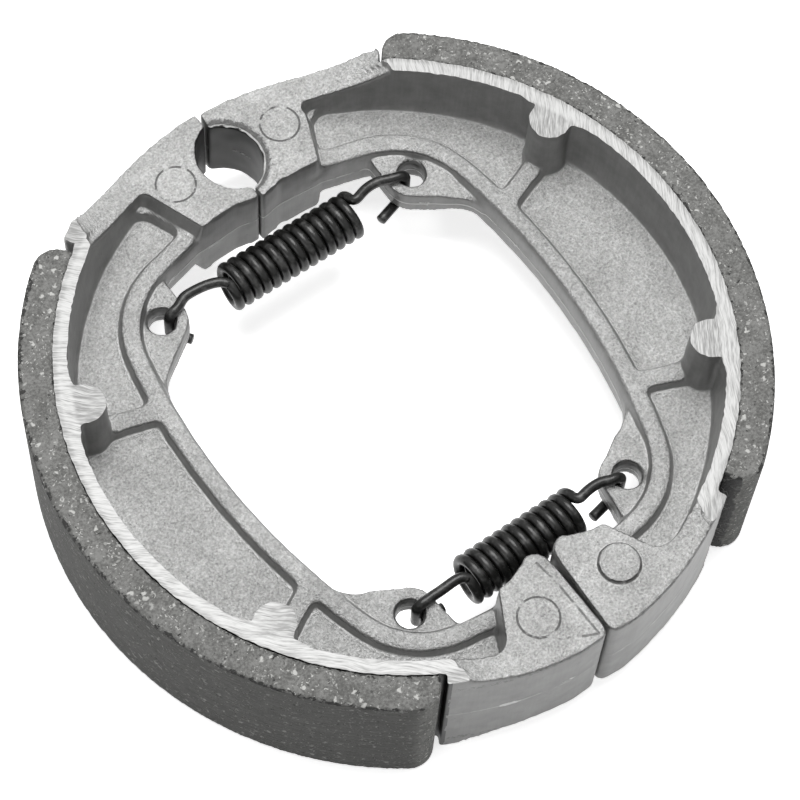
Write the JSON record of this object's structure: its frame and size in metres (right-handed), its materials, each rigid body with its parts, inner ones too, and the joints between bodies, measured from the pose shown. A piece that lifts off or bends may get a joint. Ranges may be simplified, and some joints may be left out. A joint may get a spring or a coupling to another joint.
{
  "type": "drum brake shoe pair",
  "caption": "Brake shoe set for a small drum brake: ribbed die-cast aluminium shoes with bonded friction linings, held together by extension springs.",
  "frame": {"origin": "on the drum's axis, halfway through the width of the shoes", "axes": "+Z along the drum's axis, towards the side with the upper strands of the spring hooks; +Y towards the anchor pin end; +X from the left shoe to the right shoe"},
  "size_m": [0.1078, 0.1036, 0.025],
  "materials": {
    "casting": "as cast, with a machined rim edge and posts",
    "lining": "moulded friction material, matt, with light specks",
    "spring": "black oiled spring steel"
  },
  "bodies": {
    "left_side": {"left_shoe": "casting", "left_lining": "lining", "anchor_spring": "spring", "cam_spring": "spring"},
    "right_side": {"right_shoe": "casting", "right_lining": "lining"}
  },
  "joints": [
    {"name": "shoe_opening", "type": "hinge", "parent": "left_side", "child": "right_side", "pos_m": [0, 0.052, 0], "axis": [0, 0, 1], "range_deg": [0, 8], "stiffness_Nm_per_rad": 60, "springref_deg": -4.01, "deforming": ["anchor_spring", "cam_spring"]}
  ]
}
